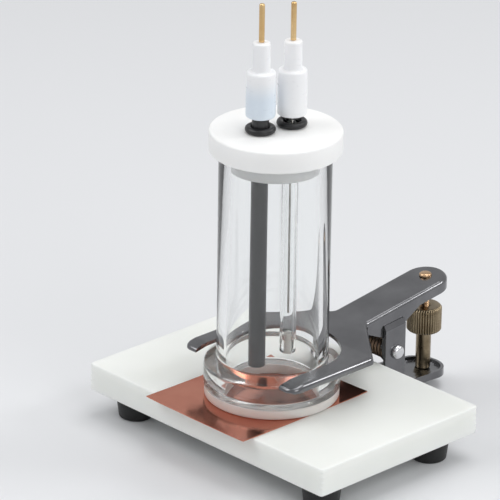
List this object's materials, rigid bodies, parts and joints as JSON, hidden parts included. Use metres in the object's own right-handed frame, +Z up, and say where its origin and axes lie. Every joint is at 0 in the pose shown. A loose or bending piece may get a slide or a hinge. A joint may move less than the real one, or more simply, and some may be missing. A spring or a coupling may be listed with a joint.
{
  "type": "electrochemical cell",
  "caption": "Flat-sample electrochemical cell: flanged glass tube clamped over a copper sheet on a footed white board, capped, with a graphite and a reference electrode.",
  "frame": {"origin": "centre of the footprint on the table: half way along the board's long side, half way between the sheet's front edge and the upper handle's end, at the underside of the feet", "axes": "+Z up along the glass tube, +X along the board's long side, +Y from the sheet's overhanging edge towards the clamp's handles"},
  "size_m": [0.12, 0.1222, 0.1688],
  "materials": {
    "white_board": "matte",
    "black_rubber": "matte",
    "screw_steel": "satin",
    "copper": "satin",
    "silicone": "satin",
    "clear_glass": "polished",
    "white_cap": "matte",
    "graphite": "matte",
    "white_handle": "satin",
    "gilt_pin": "polished",
    "frit": "matte",
    "silver_wire": "satin",
    "clamp_steel": "satin",
    "bright_steel": "polished",
    "brass": "satin"
  },
  "bodies": {
    "root": {"base_board": "white_board", "foot_front_left": "black_rubber", "foot_front_right": "black_rubber", "foot_rear_left": "black_rubber", "foot_rear_right": "black_rubber", "foot_screws": "screw_steel", "copper_sheet": "copper", "gasket": "silicone", "glass_cell": "clear_glass", "clamp_lower_arm": "clamp_steel", "pivot_pin": "bright_steel", "torsion_spring": "screw_steel"},
    "upper_arm": {"clamp_upper_arm": "clamp_steel", "clamp_stud": "brass"},
    "thumb_nut": {"thumb_nut": "brass"},
    "cap": {"cap": "white_cap"},
    "counter_electrode": {"counter_rod": "graphite", "counter_handle": "white_handle", "counter_pin": "gilt_pin", "counter_ring": "black_rubber"},
    "reference_electrode": {"reference_stem": "clear_glass", "reference_frit": "frit", "reference_wire": "silver_wire", "reference_handle": "white_handle", "reference_pin": "gilt_pin", "reference_ring": "black_rubber"}
  },
  "joints": [
    {"name": "jaw_opening", "type": "hinge", "parent": "root", "child": "upper_arm", "pos_m": [0.0025, 0.02915, 0.0232], "axis": [-1, 0, 0], "range_deg": [0, 10], "stiffness_Nm_per_rad": 0.5, "springref_deg": -28.65, "deforming": ["torsion_spring"]},
    {"name": "nut_travel", "type": "slide", "parent": "upper_arm", "child": "thumb_nut", "axis": [0, 0, 1], "range_m": [0, 0.005]},
    {"name": "cap_lift", "type": "slide", "parent": "root", "child": "cap", "axis": [0, 0, 1], "range_m": [0, 0.085]},
    {"name": "counter_height", "type": "slide", "parent": "cap", "child": "counter_electrode", "axis": [0, 0, 1], "range_m": [0, 0.07]},
    {"name": "reference_height", "type": "slide", "parent": "cap", "child": "reference_electrode", "axis": [0, 0, 1], "range_m": [0, 0.07]}
  ],
  "couplings": [
    {"joint": "nut_travel", "follows": "jaw_opening", "m_per_rad": 0.028}
  ]
}
